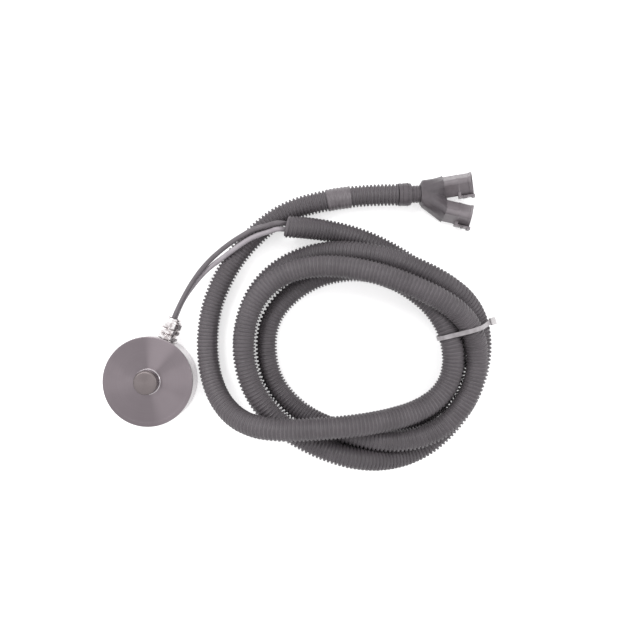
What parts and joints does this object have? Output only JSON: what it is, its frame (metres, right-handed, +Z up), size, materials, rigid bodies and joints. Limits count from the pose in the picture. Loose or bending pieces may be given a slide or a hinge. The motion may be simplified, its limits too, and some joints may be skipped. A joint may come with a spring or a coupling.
{
  "type": "compression load cell with cable harness",
  "caption": "Steel disc load cell with a load button, side gland and two thin cables in a coiled corrugated conduit that ends in a Y boot with two three-way connectors.",
  "frame": {"origin": "centre of the disc's flat base, on the surface it stands on", "axes": "+Z up through the load button; +Y points away from the disc on the side that the gland leaves from, and the coiled conduit lies at +X"},
  "size_m": [0.3305, 0.2517, 0.0555],
  "materials": {
    "turned_steel": "fine turned",
    "nickel_plate": "satin plated",
    "gauge_foil": "foil on film",
    "board_green": "lacquered",
    "black_rubber": "matt",
    "dark_jacket": "satin",
    "grey_jacket": "satin",
    "conduit_plastic": "ribbed",
    "label_film": "clear film",
    "boot_plastic": "moulded",
    "shell_plastic": "moulded",
    "wedge_plastic": "moulded",
    "pin_plate": "plated",
    "tie_nylon": "natural"
  },
  "bodies": {
    "root": {"sensor_body": "turned_steel", "base_cover": "turned_steel", "terminal_board": "board_green", "inner_lead_a": "dark_jacket", "inner_lead_b": "dark_jacket", "gland_seal_ring": "black_rubber", "gland_lock_nut": "nickel_plate", "gland_body": "nickel_plate", "gland_insert": "black_rubber", "gland_nut": "nickel_plate", "cable_dark": "dark_jacket", "cable_light": "grey_jacket", "conduit": "conduit_plastic", "label_sleeve": "label_film", "conduit_collar": "boot_plastic", "neck_sleeve": "boot_plastic", "y_boot": "boot_plastic", "cable_tie": "tie_nylon", "strain_gauge_a1": "gauge_foil", "strain_gauge_a2": "gauge_foil", "strain_gauge_a3": "gauge_foil", "strain_gauge_a4": "gauge_foil", "strain_gauge_b1": "gauge_foil", "strain_gauge_b2": "gauge_foil", "strain_gauge_b3": "gauge_foil", "strain_gauge_b4": "gauge_foil", "connector_a_shell": "shell_plastic", "connector_a_wedge": "wedge_plastic", "connector_a_rear_seal": "black_rubber", "connector_a_pin_1": "pin_plate", "connector_a_pin_2": "pin_plate", "connector_a_pin_3": "pin_plate", "connector_b_shell": "shell_plastic", "connector_b_wedge": "wedge_plastic", "connector_b_rear_seal": "black_rubber", "connector_b_pin_1": "pin_plate", "connector_b_pin_2": "pin_plate", "connector_b_pin_3": "pin_plate"}
  },
  "joints": []
}
